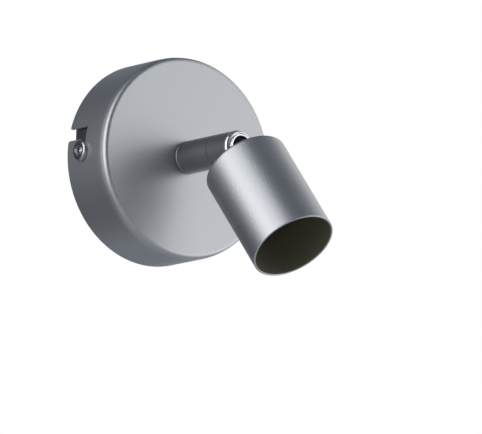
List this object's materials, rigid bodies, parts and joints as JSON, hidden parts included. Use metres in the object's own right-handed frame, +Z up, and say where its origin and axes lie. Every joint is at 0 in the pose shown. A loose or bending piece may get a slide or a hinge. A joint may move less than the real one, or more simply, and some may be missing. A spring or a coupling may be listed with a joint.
{
  "type": "pivoting spotlight wall light",
  "caption": "Round wall canopy with a short swivelling stem, a slotted ball joint and a tubular lamp head that tilts and turns.",
  "frame": {"origin": "middle of the wall bracket, on the wall, on the axis of the stem", "axes": "+Z up, -Y straight out of the wall along the stem, +X to the right for someone who faces the light"},
  "size_m": [0.0834, 0.101, 0.0918],
  "materials": {
    "grey_lacquer": "satin metallic grey lacquer",
    "zinc_steel": "zinc-plated steel",
    "nickel": "nickel-plated steel",
    "polished_chrome": "polished chrome plate",
    "spring_steel": "oiled spring steel",
    "black_oxide": "blackened steel",
    "brass": "plain brass",
    "natural_nylon": "moulded nylon",
    "white_ceramic": "fired unglazed ceramic",
    "brown_lead": "extruded sleeving",
    "blue_lead": "extruded sleeving",
    "earth_sleeving": "extruded sleeving, green with a yellow stripe",
    "heatproof_lead": "braided glass-fibre sleeving"
  },
  "bodies": {
    "base": {"canopy": "grey_lacquer", "wall_bracket": "zinc_steel", "canopy_screws": "nickel", "stem_body": "grey_lacquer", "stem_lock_washer": "zinc_steel", "earth_tag": "zinc_steel", "stem_nut": "zinc_steel", "wire_bush": "natural_nylon", "terminal_block": "natural_nylon", "terminal_clamps": "brass", "terminal_screws": "zinc_steel", "block_screw": "zinc_steel", "earth_washer": "zinc_steel", "earth_screw": "zinc_steel", "live_lead": "brown_lead", "neutral_lead": "blue_lead", "earth_lead": "earth_sleeving", "pan_clip": "spring_steel"},
    "swivel": {"swivel_sleeve": "grey_lacquer", "joint_cap": "polished_chrome", "seat_spring": "spring_steel", "ball_seat": "natural_nylon"},
    "head": {"joint_ball": "black_oxide", "head_tube": "grey_lacquer", "lampholder": "white_ceramic", "lampholder_contacts": "brass", "holder_strap": "zinc_steel", "strap_screws": "zinc_steel", "neck_washer": "zinc_steel", "neck_nut": "zinc_steel", "head_live_lead": "heatproof_lead", "head_neutral_lead": "heatproof_lead"}
  },
  "joints": [
    {"name": "swivel_pan", "type": "hinge", "parent": "base", "child": "swivel", "pos_m": [0, -0.048, 0], "axis": [0, -1, 0], "range_deg": [-183.6, 166.4]},
    {"name": "head_tilt", "type": "hinge", "parent": "swivel", "child": "head", "pos_m": [0, -0.0564, 0], "axis": [0.9888, 0, 0.1495], "range_deg": [-53.6, 36.4]}
  ]
}
